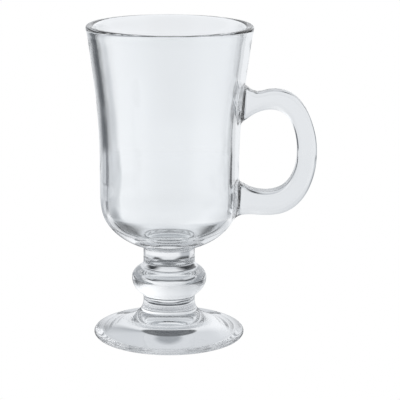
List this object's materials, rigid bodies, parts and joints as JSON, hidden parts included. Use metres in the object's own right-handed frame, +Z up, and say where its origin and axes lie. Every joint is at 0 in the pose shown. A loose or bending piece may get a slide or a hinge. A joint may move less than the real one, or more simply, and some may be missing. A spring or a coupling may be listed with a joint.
{
  "type": "irish coffee glass mug",
  "caption": "Clear pressed-glass hot drink mug: flared bowl on a short knopped stem and round foot, with a C-shaped glass handle fused to its side.",
  "frame": {"origin": "on the axis of the bowl, stem and foot, in the plane that the foot rests on", "axes": "+Z up along that axis, +X towards the handle, the mirror plane of the mug is X-Z"},
  "size_m": [0.1068, 0.077, 0.147],
  "materials": {
    "clear_glass": "fire-polished clear soda-lime glass"
  },
  "bodies": {
    "root": {"bowl": "clear_glass", "stem": "clear_glass", "foot": "clear_glass", "handle": "clear_glass"}
  },
  "joints": []
}
